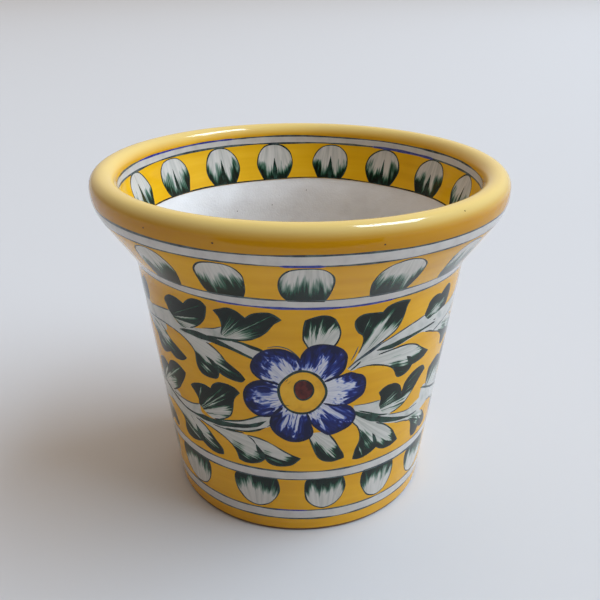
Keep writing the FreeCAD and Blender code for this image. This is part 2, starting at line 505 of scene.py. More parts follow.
# green wedges inside the leaves, and the dark brush lines of the sprays as points with widths
leafWedges = [
    [(-27.4, 8.4, 0.3), (-25.3, 6.8, 1.6), (-23.9, 4.7, 1.9), (-23.3, 3.5, 0.8)],
    [(-49.4, 8.4, 0.4), (-47.6, 6.8, 1.6), (-45.5, 5.1, 1.8), (-44, 4, 0.8)],
    [(32.8, 6.4, 0.4), (34, 5.2, 1.6), (35, 3.8, 1.6), (35.4, 2.7, 0.7)],
    [(-13.7, -19.8, 0.5), (-12.8, -22, 1.7), (-11.7, -23.8, 2.2), (-11.1, -25.1, 1)],
    [(-38.8, -17.8, 0.4), (-37, -20.1, 1), (-35.4, -22.7, 2.4), (-34.3, -24.8, 2.2),
     (-34.1, -25.8, 0.8)],
    [(23.6, -18.5, 0.4), (24.3, -19.9, 1.1), (25, -22.1, 1.5), (25.5, -24.1, 0.9)],
    [(45.4, -21, 0.3), (46.9, -23.4, 1.1), (47.9, -25.8, 0.9)],
]
sprayStrokes = [
    [(-36.3, 14.3, 0.3), (-34, 14.6, 1.3), (-30.1, 14.9, 2), (-25.2, 14.6, 1.9), (-21.3, 14, 1.7),
     (-17.4, 13, 1.1), (-14.5, 11.8, 0.9), (-11.8, 10.5, 0.8)],
    [(-26.2, 15.3, 0.8), (-21.3, 15.8, 0.8), (-17.4, 16.3, 0.7), (-14.5, 16.7, 0.5),
     (-12, 17.2, 0.3)],
    [(-18.4, 15.9, 0.4), (-15.4, 15.7, 0.8), (-12.5, 14.6, 1.1), (-9.4, 13.5, 0.9)],
    [(-59.2, -9.9, 0.5), (-51.3, -12.2, 0.9), (-45.3, -14.4, 0.8), (-40.4, -15.7, 0.7),
     (-35.4, -15.8, 0.8), (-31.4, -15.5, 1.7), (-26.5, -15.2, 2.2), (-21.6, -14.6, 1.7),
     (-16.7, -13.8, 1.4), (-12.7, -12.5, 1.2), (-9.7, -10.6, 0.4)],
    [(-27.5, -14.1, 0.6), (-22.5, -13.3, 0.6), (-17.6, -12, 0.6), (-14.2, -10.4, 0.6),
     (-12, -9.2, 0.6), (-8.4, -8.9, 0.4)],
    [(-23.6, -16.5, 0.5), (-19.6, -16.1, 0.5), (-15.7, -15.5, 0.6), (-12.3, -14.3, 0.8),
     (-9.8, -13, 1), (-8.2, -11.7, 0.8)],
    [(-28.5, -16.7, 0.4), (-22.6, -16.8, 0.5), (-17.2, -16.5, 0.5)],
    [(21.4, 11.9, 0.4), (23.3, 12.1, 1.2), (26.2, 12.2, 1.7), (29.1, 12.7, 1.6), (33, 13.3, 1.2),
     (37.8, 13.8, 0.8), (43.7, 13.9, 0.6), (51.5, 13.5, 0.5)],
    [(14, 6.7, 0.6), (15.5, 7.9, 0.5), (16.8, 9.2, 0.8)],
    [(15.5, -7.8, 0.9), (18.5, -9.7, 1.7), (22.9, -12.3, 2.2), (27.2, -14.4, 2.1),
     (31.2, -15.8, 1.8), (35.1, -17, 1.2), (39, -18, 0.6), (43.9, -18.3, 0.4)],
    [(17.7, -8.1, 0.5), (21.4, -9.8, 0.6), (25.3, -11.9, 0.6), (28.5, -12.8, 0.5)],
    [(-16.3, -17.2, 0.4), (-14.7, -18.3, 0.5), (-13.7, -19.9, 0.5)],
    [(3.3, -16.8, 0.3), (4, -18.8, 0.6), (5, -21.1, 0.4)],
]
sprayThins = [
    [(-50.8, 17.1, 0.35), (-44.8, 18.2, 0.45), (-40.1, 19.1, 0.5)],
    [(-27.1, 17.6, 0.3), (-23.7, 18.4, 0.35), (-21.1, 19.7, 0.3)],
    [(-58.9, 11.7, 0.4), (-50.8, 12.8, 0.5), (-44.9, 13.4, 0.5), (-39.7, 13.3, 0.5)],
    [(-47.3, -12.7, 0.4), (-41.3, -12.7, 0.5), (-37.3, -12.3, 0.5), (-34.8, -11.7, 0.5),
     (-33.1, -11, 0.4)],
    [(13.2, 7.4, 0.5), (15.5, 9.6, 0.6), (19.4, 11.9, 0.7), (23.3, 14.3, 0.5)],
    [(21.8, 13.6, 0.4), (27.2, 15.7, 0.45), (32, 17.2, 0.5), (37.8, 18.6, 0.5)],
    [(13.9, 10.1, 0.35), (14.8, 12.1, 0.4), (15.6, 14.5, 0.4)],
    [(16.1, -5.8, 0.25), (20.4, -6.1, 0.35), (24.7, -6.2, 0.4)],
    [(28.7, -13, 0.4), (33.1, -14.1, 0.35), (37, -14.9, 0.35), (42.9, -14.9, 0.35)],
    [(32.1, -17.6, 0.4), (35.1, -18.3, 0.4), (38.5, -19.3, 0.4)],
    [(-8.5, 15, 0.3), (-5.7, 15.6, 0.35), (-3.2, 15, 0.35), (-1.2, 13.4, 0.35), (0.2, 11.7, 0.3)],
]

# the flower's petals, given as the leaves are
petalShapes = [
    ((1, 9), 4.6, (0, 13), [
        (0.3, 11.3, 1), (-1.5, 13.1), (-3.6, 14.3), (-5.7, 14.6), (-8.2, 14.2), (-10, 13.3),
        (-11.6, 11.8), (-12.7, 10), (-13.2, 8.1), (-12.8, 6.3), (-11.5, 4.8), (-10.1, 3.9),
        (-7.7, 3.5), (-5.2, 2.6, 1), (-2.4, 4.8), (0.8, 7.4, 1)]),
    ((1, 11), 5.2, (0, 13), [
        (0.3, 11.1, 1), (0.7, 12.9), (2, 14.8), (3.6, 15.8), (5.4, 16.2), (7.3, 16), (9.3, 15.3),
        (11.2, 13.9), (12.4, 11.9), (12.5, 9.7), (12.2, 7.5), (11.2, 6), (9.2, 4.7), (6.8, 3.6, 1),
        (3.9, 5.3), (0.8, 7.4, 1)]),
    ((4, 11), 4.4, (1, 14), [
        (6.8, 3.6, 1), (9.2, 4.7), (11.7, 5.4), (14.2, 6), (15.8, 5.3), (17.5, 4.6), (18.6, 3.2),
        (19, 1.3), (18.9, -1), (18.3, -2.5), (16.5, -3.8), (14.6, -4.8), (12.1, -5.1), (9.7, -4.8),
        (6.8, -3.8, 1), (5.4, 0.8)]),
    ((0, 10), 4.8, (0, 13), [
        (13.2, -5.1, 1), (15, -6.3), (16.2, -7.9), (16.7, -9.7), (16.2, -11.6), (14.8, -13.2),
        (12.6, -14.3), (10.5, -15.2), (8.7, -15.5), (7.1, -14.4), (5.2, -12.8), (3.9, -11.4),
        (2.9, -9.5), (2.3, -7.3, 1), (5.3, -2.2), (6.8, -3.8, 1), (9.7, -4.7)]),
    ((2, 12), 5.2, (0, 15), [
        (2.3, -7.3, 1), (3, -9.8), (3.7, -12.3), (3.9, -14.3), (3.2, -15.9), (1.7, -16.8),
        (-0.3, -17.3), (-2.5, -17.2), (-4.6, -16.4), (-6.8, -14.8), (-8.1, -12.9), (-8.6, -11),
        (-8.2, -9.1), (-7.2, -7.2), (-6.1, -6), (-4.7, -5, 1), (-1, -2.2)]),
    ((2, 11), 4.6, (0, 13), [
        (-5.2, 2.6, 1), (-7.7, 3.5), (-10.5, 3.8), (-12.6, 3), (-14.6, 1.1), (-15.7, -1.1),
        (-15.9, -3.7), (-15.4, -5.7), (-14.2, -7.3), (-12.5, -8.5), (-10.3, -8.9), (-8.2, -8.3),
        (-6.4, -6.8), (-4.7, -5, 1), (-2.9, -1.2)]),
]
# centre, radii and the width of the line round it
flowerDisc = ((0.9, 0.3), (6.75, 7.35), 0.75)
flowerDot = ((1.2, 0.9), (2.75, 3.35), 0.5)
brushTicks = [
    [(-3.8, 4, 0.25), (-3.1, 4.9, 0.3)],
    [(-3.2, 3.3, 0.25), (-2.5, 4.1, 0.3)],
    [(-2.6, 5.7, 0.2), (-2, 6.5, 0.2)],
    [(-4.3, -4.3, 0.3), (-2.8, -4.4, 0.25)],
]
sectors = (-1, 0, 1)  # the flower is painted three times round the pot
lineWidths = {"leaf": 0.48, "petal": 0.65, "band": 0.42}


def ellipse(centre, radii, count=40):
    turn = np.linspace(0, 2 * np.pi, count, endpoint=False)
    return np.stack([centre[0] + radii[0] * np.cos(turn), centre[1] + radii[1] * np.sin(turn)], 1)


def handDrawn(points, shift, seed, wander, closed=False):
    # a smooth line moved to its place, as an unsteady hand repeats it
    line, marks = smoothLine(points, closed)
    line[:, :2] = handShift(line[:, :2], seed, wander) + shift
    return line, marks


def paintLeaf(shape, shift, seed, colour, lineWidth, wander, base=None):
    # paints a leaf or petal and returns the outline of the line along its edge
    tipMarks, depth, edgeMarks, outline = shape
    line, marks = handDrawn(outline, shift, seed, wander, closed=True)
    tip = line[marks[tipMarks[0]]:marks[tipMarks[1]] + 1, :2]
    if base is None:  # a leaf's strokes fan out from its stalk
        base = (line[0, :2] + line[-1, :2]) / 2
        base = base - (tip.mean(0) - base) * brush["stalkReach"]
    paint(colour, line, tip, base, depth, seed)
    return ribbon(line[marks[edgeMarks[0]]:marks[edgeMarks[1]] + 1], lineWidth, seed)


def paintStrokes(strokes, shift, seed, colour, wander):
    for points in strokes:
        line = handDrawn(points, shift, seed, wander)[0]
        paint(colour, ribbon(line, line[:, 2], seed))


def paintFlower(shift, seed, wander):
    middle = np.array(flowerDisc[0]) + shift
    edges = [paintLeaf(shape, shift, seed + i, "petal", lineWidths["petal"], wander, middle)
             for i, shape in enumerate(petalShapes)]
    for edge in edges:
        paint("navyLine", edge)
    for part, fill, own in ((flowerDisc, "disc", seed + 30), (flowerDot, "dot", seed + 31)):
        centre, radii, width = part
        edge = handShift(ellipse(centre, radii), own, 0.5 + wander) + shift
        paint(fill, edge)
        paint("darkLine", ribbon(edge, width, own, closed=True))


def paintSector(turn):
    # a third of the pot. The one in front is drawn nearly as given, the others by a freer hand
    shift = np.array([turn * fullTurn / 3, 0])
    seed = 40 * (turn + 2)
    wander = brush["sureHand"] if turn == 0 else brush["freeHand"]
    for shape in sprayWhites:
        paint("white", handDrawn(shape, shift, seed, wander, closed=True)[0])
    edges = []
    for i, shape in enumerate(leafShapes.values()):
        edges.append(paintLeaf(shape, shift, seed, "leaf", lineWidths["leaf"], wander))
        drawing[-1]["seed"] = seed + i  # streaks of its own
    for edge in edges:
        paint("darkLine", edge)
    paintStrokes(leafWedges + sprayStrokes, shift, seed, "greenStroke", wander)
    paintStrokes(sprayThins, shift, seed, "thinLine", wander)
    paintFlower(shift, seed, wander)
    if turn == 0:
        paintStrokes(brushTicks, shift, seed, "darkLine", 0)


# petal bands: "seen" holds the petals in front as (degrees, width in degrees, lean), the others
# follow on evenly, and "half" is the left half of a petal's outline from its base to its tip
petalBands = {
    "lower": {
        "seen": [(-48, 18, 0), (-17.2, 18.5, 0), (10.1, 16, 0), (33, 15.8, 0.05), (58, 17, 0)],
        "count": 14,
        "half": [(0.44, 0), (0.5, 0.16), (0.5, 0.4), (0.42, 0.68), (0.25, 0.9)],
        "base": outV(21.9),
        "tip": outV(9.2),
        "depth": 4.0,  # how deep the green runs
        "wedge": 0,  # how far up a green wedge reaches, as a share
    },
    "collar": {
        "seen": [(-41.3, 13.2, 0.05), (-21, 13.4, 0.08), (1.7, 13.8, 0), (25.6, 14.2, 0.08)],
        "count": 15,
        "half": [(0.37, 0), (0.45, 0.2), (0.5, 0.5), (0.45, 0.75), (0.28, 0.94)],
        "base": outV(84.4),
        "tip": outV(97.2),
        "depth": 4.6,
        "wedge": 0,
    },
    "inner": {
        "seen": [(angle, 14.5, 0) for angle in (121.7, 145, 167.5, 190.5, 212.8, 235.8)],
        "count": 16,
        "half": [(0.33, 0), (0.44, 0.22), (0.5, 0.46), (0.43, 0.74), (0.24, 0.94)],
        "base": endV - 0.1,
        "tip": inV(101),
        "depth": 3.2,
        "wedge": 0.68,
    },
}
# what the hand leaves uneven from petal to petal, as shares of the petal's size
petalHand = {
    "length": (0.96, 1.0),
    "sideways": 0.02,
    "lengthways": 0.015,
    "depth": (0.85, 1.2),
    "wedge": (0.85, 1.1),
    "wedgeWidths": (2.6, 1.5, 0.3),  # millimetres at its base, in the middle and at its tip
    "wedgeMiddle": 0.4,
    "strokesMeet": 2.5,  # the strokes of a petal aim at a spot this many lengths from its base
}


def petalPlaces(band):
    # all petals of a band: those in front and those that fill the rest of the turn
    seen = band["seen"]
    others = band["count"] - len(seen)
    first, last = seen[0][0], seen[-1][0]
    step = (360 - last + first) / (others + 1)
    return seen + [(last + step * (i + 1), seen[0][1], 0) for i in range(others)]


def paintPetalBand(band, seed):
    dice = random.Random(seed)
    for i, (angle, width, lean) in enumerate(petalPlaces(band)):
        centre = ((angle + 180) % 360 - 180) * plane["mmPerDegree"]
        width = width * plane["mmPerDegree"]
        base = band["base"]
        rise = (band["tip"] - base) * dice.uniform(*petalHand["length"])
        outline = [(-x, y) for x, y in band["half"]] + [(0, 1)] + band["half"][::-1]
        points = []
        for x, y in outline:
            x += lean * y + dice.uniform(-petalHand["sideways"], petalHand["sideways"])
            y += dice.uniform(-petalHand["lengthways"], petalHand["lengthways"])
            points.append((centre + width * x, base + rise * y))
        points[0] += (1,)
        points[-1] += (1,)
        line, marks = smoothLine(points, closed=True)
        tip = np.concatenate([line[marks[-2]:], line[:marks[1] + 1]])
        strokesMeet = (centre, base + rise * petalHand["strokesMeet"])
        depth = band["depth"] * dice.uniform(*petalHand["depth"])
        paint("bandPetal", line, tip, strokesMeet, depth, seed + i)
        if band["wedge"]:
            top = rise * band["wedge"] * dice.uniform(*petalHand["wedge"])
            middle = base + top * petalHand["wedgeMiddle"]
            spine = [(centre, base), (centre, middle), (centre + width * lean, base + top)]
            paint("greenStroke", ribbon(spine, petalHand["wedgeWidths"], seed + i))
        paint("darkLine", ribbon(line[:marks[-1] + 1], lineWidths["band"], seed + i))


# white rings with their two edges, and the strokes where the lines along these were drawn again in
# blue: ring, edge, from and to in degrees, and width
whiteRings = {
    "foot": (outV(5.3), outV(8.8)),
    "lower": (outV(21.7), outV(24.9)),
    "neck": (outV(82), outV(84.8)),
    "collar": (outV(97.6), outV(100.8)),
    "inner": (inV(103.8), inV(101.2)),
}
blueStrokes = [("collar", 0, -5, 6, 0.9), ("neck", 0, -26, 30, 0.7), ("inner", 0, -154, -106, 0.55),
               ("inner", 1, 122, 152, 0.9), ("foot", 1, -10, 4, 0.5)]
lastGroundV = endV - 0.5  # the inner yellow, lighter as painted light, ends here, under the last line
lastLineV = endV - 0.25
lastLineWidth = 0.5
# iron specks that came through the glaze, as (u, v, size)
ironSpecks = [(-32.2, 52.2, 0.45), (-16.2, 51.8, 0.5), (15.8, 51.6, 0.45), (35.4, 56, 0.4),
              (-47, -9, 0.35), (70, 53, 0.4), (118, 50.5, 0.5), (-96, 52.6, 0.4), (-61, 22, 0.35),
              (88, 10, 0.4)]


def paintAll():
    edges = {}
    for name, (low, high) in whiteRings.items():
        edges[name] = ringBand("bandWhite", low, high, len(edges))
    # inside the band the yellow ground is its lighter copy, painted light of the lit inside
    ringBand("innerYellowPaintedLight", whiteRings["inner"][1], lastGroundV, 9, 0)
    for turn in sectors:
        paintSector(turn)
    for i, band in enumerate(petalBands.values()):
        paintPetalBand(band, 300 + 40 * i)
    for i, pair in enumerate(edges.values()):
        for side, edge in enumerate(pair):
            ringLine("ringLine", edge, rings["lineWidth"], 20 + i + 20 * side)
    for i, (name, side, start, end, width) in enumerate(blueStrokes):
        edge = edges[name][side]
        degrees = edge[:, 0] / plane["mmPerDegree"]
        paint("blueStroke", ribbon(edge[(degrees > start) & (degrees < end)], width, 80 + i))
    for u, v, size in ironSpecks:
        paint("speck", ellipse((u, v), (size / 2, size / 2), 8))
    last = edges["inner"][1].copy()
    last[:, 1] = lastLineV
    ringLine("darkLine", last, lastLineWidth, 60)


paintAll()
print("drawing:", len(drawing), "painted regions")


# The coat's mesh: the plane is cut along every painted edge, wrapped round the pot and closed. No
# operator cuts a surface along so many outlines, so it is built from its points.

def rowLevels():
    # rows lie closer together where the section turns
    neckV = outV(neckZ)
    levels = [bottomV]
    while levels[-1] < endV:
        v = levels[-1]
        step = plane["rowStep"]
        overLip = outV(plane["lipRowsFrom"]) < v < inV(plane["lipRowsTo"])
        if overLip or abs(v - neckV) < plane["neckRowsReach"]:
            step = plane["lipRowStep"]
        levels.append(v + step)
    levels = np.array(levels)
    return bottomV + (levels - bottomV) * (endV - bottomV) / (levels[-1] - bottomV)


def cutPlane():
    # returns the corners of all triangles in the plane and the triangles
    us = np.linspace(-halfTurn, halfTurn, plane["columns"] + 1)
    rows = rowLevels()
    dots = [(u, v) for v in rows for u in us]
    edges = []
    width = len(us)
    for k in range(len(rows) - 1):  # the two sides of the seam
        for column in (0, width - 1):
            edges.append((k * width + column, (k + 1) * width + column))
    for row in (0, len(rows) - 1):
        for i in range(width - 1):
            edges.append((row * width + i, row * width + i + 1))
    lowest, highest = bottomV + plane["edgeMargin"], endV - plane["edgeMargin"]
    for region in drawing:
        outline = region["outline"]
        outline[:, 1] = np.clip(outline[:, 1], lowest, highest)
        first = len(dots)
        dots.extend(map(tuple, outline))
        count = len(outline)
        edges.extend((first + i, first + (i + 1) % count) for i in range(count))
    cut = delaunay_2d_cdt([Vector(d) for d in dots], edges, [], 0, 1e-5, False)
    corners = np.array([tuple(c) for c in cut[0]])
    faces = np.array(cut[2])
    sides = corners[faces]
    middle = sides.mean(1)
    area = np.abs(np.cross(sides[:, 1] - sides[:, 0], sides[:, 2] - sides[:, 0])) / 2
    inStrip = (np.abs(middle[:, 0]) < halfTurn) & (middle[:, 1] > bottomV) & (middle[:, 1] < endV)
    return corners, faces[inStrip & (area > 1e-9)]


def inside(spots, outline):
    # winding number of a closed outline round each spot
    x1, y1 = outline.T
    x2, y2 = np.roll(outline, -1, 0).T
    px, py = spots[:, :1], spots[:, 1:]
    left = (x2 - x1) * (py - y1) - (px - x1) * (y2 - y1)
    up = (y1 <= py) & (y2 > py) & (left > 0)
    down = (y1 > py) & (y2 <= py) & (left < 0)
    return up.sum(1) - down.sum(1) != 0


def regionOfTriangles(middle):
    # the last region painted over each triangle, -1 for the yellow ground
    owner = np.full(len(middle), -1)
    for i, region in enumerate(drawing):
        outline = region["outline"]
        low, high = outline.min(0), outline.max(0)
        near = np.nonzero(((middle >= low) & (middle <= high)).all(1))[0]
        if len(near):
            owner[near[inside(middle[near], outline)]] = i
    return owner


def strokePlaces(spots, region):
    # for streaks: how far round the tip a spot lies, in millimetres, and how deep below its edge
    tip = region["tip"]
    start, way = tip[:-1], np.diff(tip, axis=0)
    share = ((spots[:, None] - start) * way).sum(2) / np.maximum((way ** 2).sum(1), 1e-9)
    nearest = start + np.clip(share, 0, 1)[..., None] * way
    depth = np.hypot(*(spots[:, None] - nearest).transpose(2, 0, 1)).min(1)
    base = region["base"]
    reach = np.hypot(*(tip - base).T).mean()
    ahead = tip.mean(0) - base
    offset = spots - base
    angle = np.arctan2(ahead[0] * offset[:, 1] - ahead[1] * offset[:, 0], offset @ ahead)
    return np.stack([angle * reach + region["seed"] * 37.0, depth / region["depth"]], 1)


def strokeMap(corners, faces, owner):
    # the same for all three corners of each triangle that has streaks
    strokes = np.zeros((len(faces), 3, 2))
    for i, region in enumerate(drawing):
        own = np.nonzero(owner == i)[0]
        if region["tip"] is not None and len(own):
            spots = corners[faces[own]].reshape(-1, 2)
            strokes[own] = strokePlaces(spots, region).reshape(-1, 3, 2)
    return strokes


def innerLayer(columns):
    # the underside of the coat, row by row
    levels = rowLevels()[::2]
    levels = np.append(levels, endV) if levels[-1] < endV - 1e-6 else levels
    us = np.linspace(-halfTurn, halfTurn, columns + 1)[:-1]
    spots = np.array([(u, v) for v in levels for u in us])
    places, normals = wrap(spots[:, 0], spots[:, 1], plane["coatThickness"])
    return places, normals, len(levels)


def seamPartners(corners):
    # each corner on the right side of the plane is the one on the left side at the same height
    merged = np.arange(len(corners))
    left = np.nonzero(np.abs(corners[:, 0] + halfTurn) < plane["nearby"])[0]
    right = np.nonzero(np.abs(corners[:, 0] - halfTurn) < plane["nearby"])[0]
    left = left[np.argsort(corners[left, 1])]
    for i in right:
        k = np.searchsorted(corners[left, 1], corners[i, 1])
        pair = [left[j] for j in (k - 1, k) if 0 <= j < len(left)]
        merged[i] = min(pair, key=lambda j: abs(corners[j, 1] - corners[i, 1]))
    return merged


def closingQuads(corners, count, rows):
    # the underside, whose corners follow the first ones, and the two rims that join it to the skin
    columns = plane["columns"]
    quads = []
    for k in range(rows - 1):
        a, b = count + k * columns, count + (k + 1) * columns
        for i in range(columns):
            j = (i + 1) % columns
            quads.append((a + i, b + i, b + j, a + j))
    for v, row, turned in ((bottomV, 0, False), (endV, rows - 1, True)):
        rim = np.nonzero(np.abs(corners[:, 1] - v) < plane["nearby"])[0]
        rim = rim[np.argsort(corners[rim, 0])]
        low = count + row * columns
        for i in range(columns):
            j = (i + 1) % columns
            quad = (int(rim[i]), low + i, low + j, int(rim[j]))
            quads.append(quad[::-1] if turned else quad)
    return quads


def makeCoat(materials):
    corners, faces = cutPlane()
    owner = regionOfTriangles(corners[faces].mean(1))
    names = list(coatPaints)
    colourOf = [names.index(region["colour"]) for region in drawing] + [0]
    paintOf = np.array(colourOf)[owner]
    strokes = strokeMap(corners, faces, owner)
    places, normals = wrap(corners[:, 0], corners[:, 1])

    faces = seamPartners(corners)[faces]
    whole = (faces != np.roll(faces, 1, axis=1)).all(1)
    faces, paintOf, strokes = faces[whole], paintOf[whole], strokes[whole]
    used, small = np.unique(faces, return_inverse=True)
    faces = small.reshape(-1, 3)
    under, underNormals, rows = innerLayer(plane["columns"])
    quads = closingQuads(corners[used], len(used), rows)

    mesh = bpy.data.meshes.new("painted_coat")
    mesh.from_pydata(np.concatenate([places[used], under]).tolist(), [], faces.tolist() + quads)
    for material in materials:
        mesh.materials.append(material)
    indices = np.concatenate([paintOf, np.zeros(len(quads), int)]).astype(np.int32)
    mesh.polygons.foreach_set("material_index", indices)
    layer = mesh.uv_layers.new(name="strokes")
    loops = np.concatenate([strokes.reshape(-1, 2), np.zeros((len(quads) * 4, 2))])
    layer.uv.foreach_set("vector", loops.ravel().astype(np.float32))
    mesh.polygons.foreach_set("use_smooth", np.ones(len(mesh.polygons), bool))
    allNormals = np.concatenate([normals[used], -underNormals])
    mesh.normals_split_custom_set_from_vertices(allNormals.tolist())
    coat = bpy.data.objects.new("painted_coat", mesh)
    bpy.context.collection.objects.link(coat)
    print("coat:", len(faces), "painted triangles and", len(quads), "quads behind them")
    return coat


# Clay parts: a ring of vertices laid on each section and spun about the pot's axis

clay = {
    "spinSteps": 144,
    "underCoat": 0.2,  # how far the clay lies below the surface that the coat gives
    "slipTop": 86.5,  # inside, the bare slip is at full size up to this height
    "coatGrip": 87.7,  # and from this height up the clay makes room for the coat
    "smoothAngle": 35,
}


def inwardAt(s, z):
    if s <= skinS[topIndex]:
        return clay["underCoat"]
    return float(np.interp(z, [clay["slipTop"], clay["coatGrip"]], [0, clay["underCoat"]]))


def sectionSide(startS, endS):
    # the section from one length along it to another, as the clay lies
    between = [s for s in skinS if startS + 0.01 < s < endS - 0.01]
    side = []
    for s in [startS] + between + [endS]:
        r, z, nr, nz = (float(a) for a in sectionAt(s))
        inward = inwardAt(s, z)
        side.append((r - nr * inward, z - nz * inward))
    return side


def turnedPart(name, section, materials, materialOf):
    bpy.ops.object.select_all(action="DESELECT")
    bpy.ops.mesh.primitive_circle_add(vertices=len(section), radius=rimRadius * mm,
                                      location=(0, 0, 0))
    part = bpy.context.object
    part.name = name
    part.data.name = name
    for vertex, (r, z) in zip(part.data.vertices, section):
        vertex.co = (r * mm, 0, z * mm)
    bpy.ops.object.mode_set(mode="EDIT")
    bpy.ops.mesh.select_all(action="SELECT")
    bpy.ops.mesh.spin(steps=clay["spinSteps"], angle=math.tau, center=(0, 0, 0), axis=(0, 0, 1))
    bpy.ops.mesh.select_all(action="SELECT")
    bpy.ops.mesh.remove_doubles(threshold=0.01 * mm)
    bpy.ops.mesh.delete_loose(use_faces=False)
    bpy.ops.mesh.select_all(action="SELECT")
    bpy.ops.mesh.normals_make_consistent(inside=False)
    bpy.ops.object.mode_set(mode="OBJECT")
    for material in materials:
        part.data.materials.append(material)
    for face in part.data.polygons:
        face.material_index = materialOf(face)
    bpy.ops.object.shade_smooth_by_angle(angle=math.radians(clay["smoothAngle"]))
    return part


def makeClay(slip, bare):
    under = clay["underCoat"]
    ringInside = footRadius - pot["footRingWidth"]
    seam = (wallOuter(ringTop) - under, ringTop)
    foot = roundedPath([
        (ringInside, ringTop, 0),
        (ringInside, 0, pot["footInnerRounding"]),
        (footRadius - under, 0, pot["footRounding"]),
        seam + (0,),
    ])
    slab = [(0, ringTop), (0, slabTop), (wallOuter(slabTop) - under, slabTop), seam]
    bands = {
        # the wall ends where the cove meets the floor
        "moulded_wall": (slabTop, neckZ, insideS(slabTop + 0.02)),
        "flared_collar": (neckZ, lipSeam, insideS(neckZ)),
    }

    def slabSide(face):  # slip on the floor, bare clay below
        return int(face.normal.z < 0.5)

    parts = {
        "foot_ring": turnedPart("foot_ring_clay", foot, [bare], lambda face: 0),
        "base_slab": turnedPart("base_slab_clay", slab, [slip, bare], slabSide),
    }
    for node, (low, high, innerEnd) in bands.items():
        section = sectionSide(outsideS(low), outsideS(high)) + sectionSide(insideS(high), innerEnd)
        parts[node] = turnedPart(node + "_clay", section, [slip], lambda face: 0)
    lip = sectionSide(outsideS(lipSeam), insideS(lipSeam))
    parts["rolled_lip"] = turnedPart("rolled_lip_clay", lip, [slip], lambda face: 0)
    return parts


# Materials

def linear(code):
    # an sRGB hex colour as Blender's linear one
    parts = [int(code[i:i + 2], 16) / 255 for i in (1, 3, 5)]
    return [p / 12.92 if p <= 0.04045 else ((p + 0.055) / 1.055) ** 2.4 for p in parts] + [1]


def add(tree, kind, inputs=None, stops=(), **settings):
    # a node with its settings, its links or fixed values, and the colour stops if it is a ramp
    made = tree.nodes.new("ShaderNode" + kind)
    for name, value in settings.items():
        setattr(made, name, value)
    for key, value in (inputs or {}).items():
        if isinstance(value, bpy.types.Node):
            value = value.outputs[0]
        if isinstance(value, bpy.types.NodeSocket):
            tree.links.new(value, made.inputs[key])
        else:
            made.inputs[key].default_value = linear(value) if isinstance(value, str) else value
    if stops:
        elements = made.color_ramp.elements
        while len(elements) < len(stops):
            elements.new(0.5)
        for element, (place, colour) in zip(elements, stops):
            element.position = place
            element.color = linear(colour)
    return made


def maths(tree, operation, *values, **settings):
    return add(tree, "Math", dict(enumerate(values)), operation=operation, **settings)


def noiseAt(tree, place, size=None, **inputs):
    # patches of a size in millimetres, or of the size 1 where the place is scaled already
    scale = 1.0 if size is None else 1 / (size * mm)
    return add(tree, "TexNoise", {"Vector": place, "Scale": scale, **inputs})


def stretched(tree, place, sizes):
    return add(tree, "Mapping", {"Vector": place, "Scale": [1 / (size * mm) for size in sizes]})


def slope(tree, value, start, end, low=0.0, high=1.0, **settings):
    # low up to the start, high from the end on
    return add(tree, "MapRange", {"Value": value, "From Min": start, "From Max": end,
                                  "To Min": low, "To Max": high}, **settings)


def mix(tree, share, first, second, **settings):
    colours = {0: share, 6: first, 7: second}
    return add(tree, "Mix", colours, data_type="RGBA", **settings).outputs[2]


def dress(tree, shader, colour, height, depth):
    # the colour and the relief of a material, whose depth is in millimetres
    bump = add(tree, "Bump", {"Height": height, "Distance": depth * mm, "Strength": 1.0})
    tree.links.new(bump.outputs[0], shader.inputs["Normal"])
    tree.links.new(colour, shader.inputs["Base Color"])


def newMaterial(name, roughness):
    material = bpy.data.materials.new(name)
    material.use_nodes = True
    shader = material.node_tree.nodes["Principled BSDF"]
    shader.inputs["Roughness"].default_value = roughness
    return material, material.node_tree, shader


# a clear glaze fired over the colours: wet gloss with the faint ripple of a dipped coat
glaze = {
    "roughness": 0.09,
    "ior": 1.39,
    "rippleSize": 9.0,  # millimetres, as all sizes and depths of a pattern are here
    "rippleDepth": 0.03,
    "pitSize": 0.8,
    "pitDepth": 0.006,
}


def glazed(name, colourNodes):
    material, tree, shader = newMaterial(name, glaze["roughness"])
    shader.inputs["IOR"].default_value = glaze["ior"]
    place = add(tree, "TexCoord").outputs["Object"]
    ripple = noiseAt(tree, place, glaze["rippleSize"])
    pits = noiseAt(tree, place, glaze["pitSize"], Detail=1.0)
    pitHeight = maths(tree, "MULTIPLY", pits, glaze["pitDepth"])
    height = maths(tree, "MULTIPLY_ADD", ripple, glaze["rippleDepth"], pitHeight)
    dress(tree, shader, colourNodes(tree, place), height, 1)
    return material


# yellow glaze laid with a wide brush as the pot turned: level strokes a few millimetres high. It is
# painted darker on the lip's face as painted shade, and paler over the crest, where the glaze
# thins, as painted sheen
ground = {
    "strokeSize": (55.6, 55.6, 2.381),
    "patchSize": 16.67,
    # painted shade: the lip's face darker, as the dark room in front leaves it
    "face": (rimRadius - 3, rimRadius - 0.5, "#a86c00"),  # from one radius to another
    # painted sheen: paler towards the crest, where the glaze thins and the bright room above is
    # reflected
    "crestSheen": (potTop - 4, potTop - 0.4, "#ece6a2"),  # from one height to another
    "mostTint": 0.5,
}


